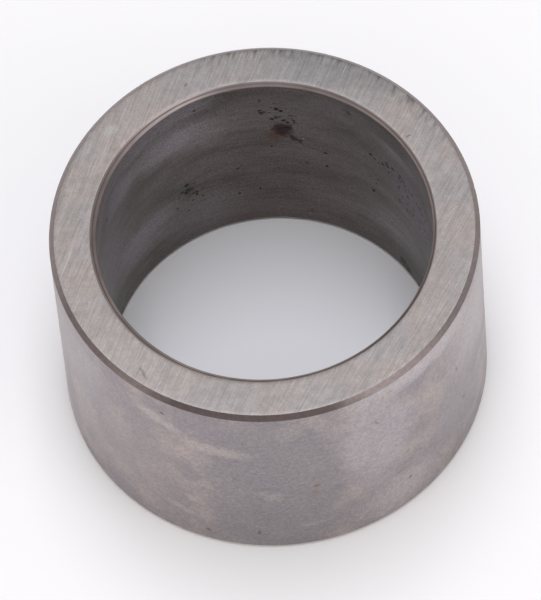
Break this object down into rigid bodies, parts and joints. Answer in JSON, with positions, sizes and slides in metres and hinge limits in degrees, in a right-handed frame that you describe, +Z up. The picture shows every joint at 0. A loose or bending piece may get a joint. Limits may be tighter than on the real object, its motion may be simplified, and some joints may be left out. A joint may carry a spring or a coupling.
{
  "type": "spacer sleeve",
  "caption": "Short thick-walled steel ring with ground faces and chamfered edges that holds two bearings apart on a shaft.",
  "frame": {"origin": "on the axis of the bore, in the lower end face, on which the sleeve stands", "axes": "+Z up along the bore axis to the upper end face; +X and +Y across the sleeve, which is the same all round"},
  "size_m": [0.032, 0.032, 0.02],
  "materials": {
    "ground_steel": "satin"
  },
  "bodies": {
    "root": {"sleeve": "ground_steel"}
  },
  "joints": []
}
